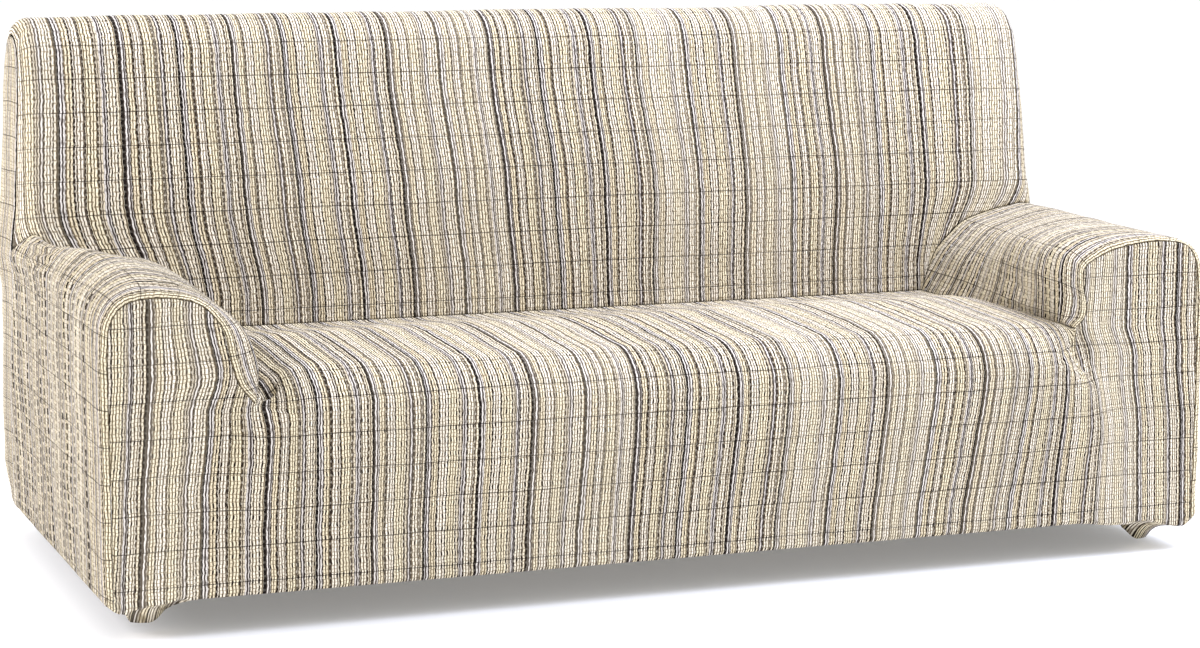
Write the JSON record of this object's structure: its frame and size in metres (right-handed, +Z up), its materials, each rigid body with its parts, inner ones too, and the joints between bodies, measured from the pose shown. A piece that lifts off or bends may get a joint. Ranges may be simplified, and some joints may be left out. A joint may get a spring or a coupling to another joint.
{
  "type": "sofa slipcover",
  "caption": "Fitted stretch cover for a sofa with arms, in sewn striped crinkle cloth, hollow and open underneath.",
  "frame": {"origin": "the point under the cloth at the middle of the top roll of the back, where the sofa holds the cover", "axes": "+X across the sofa to its right hand end as seen from the front, +Y from the arm fronts to the rear, +Z up"},
  "size_m": [2.038, 0.97, 0.9499],
  "materials": {
    "striped_cloth": "matte crinkled stretch weave, cream with narrow grey, dark and ochre stripes"
  },
  "bodies": {
    "root": {"front_panel": "striped_cloth", "arm_panel_left": "striped_cloth", "arm_panel_right": "striped_cloth", "inside_back_panel": "striped_cloth", "outside_back_panel": "striped_cloth"}
  },
  "joints": []
}
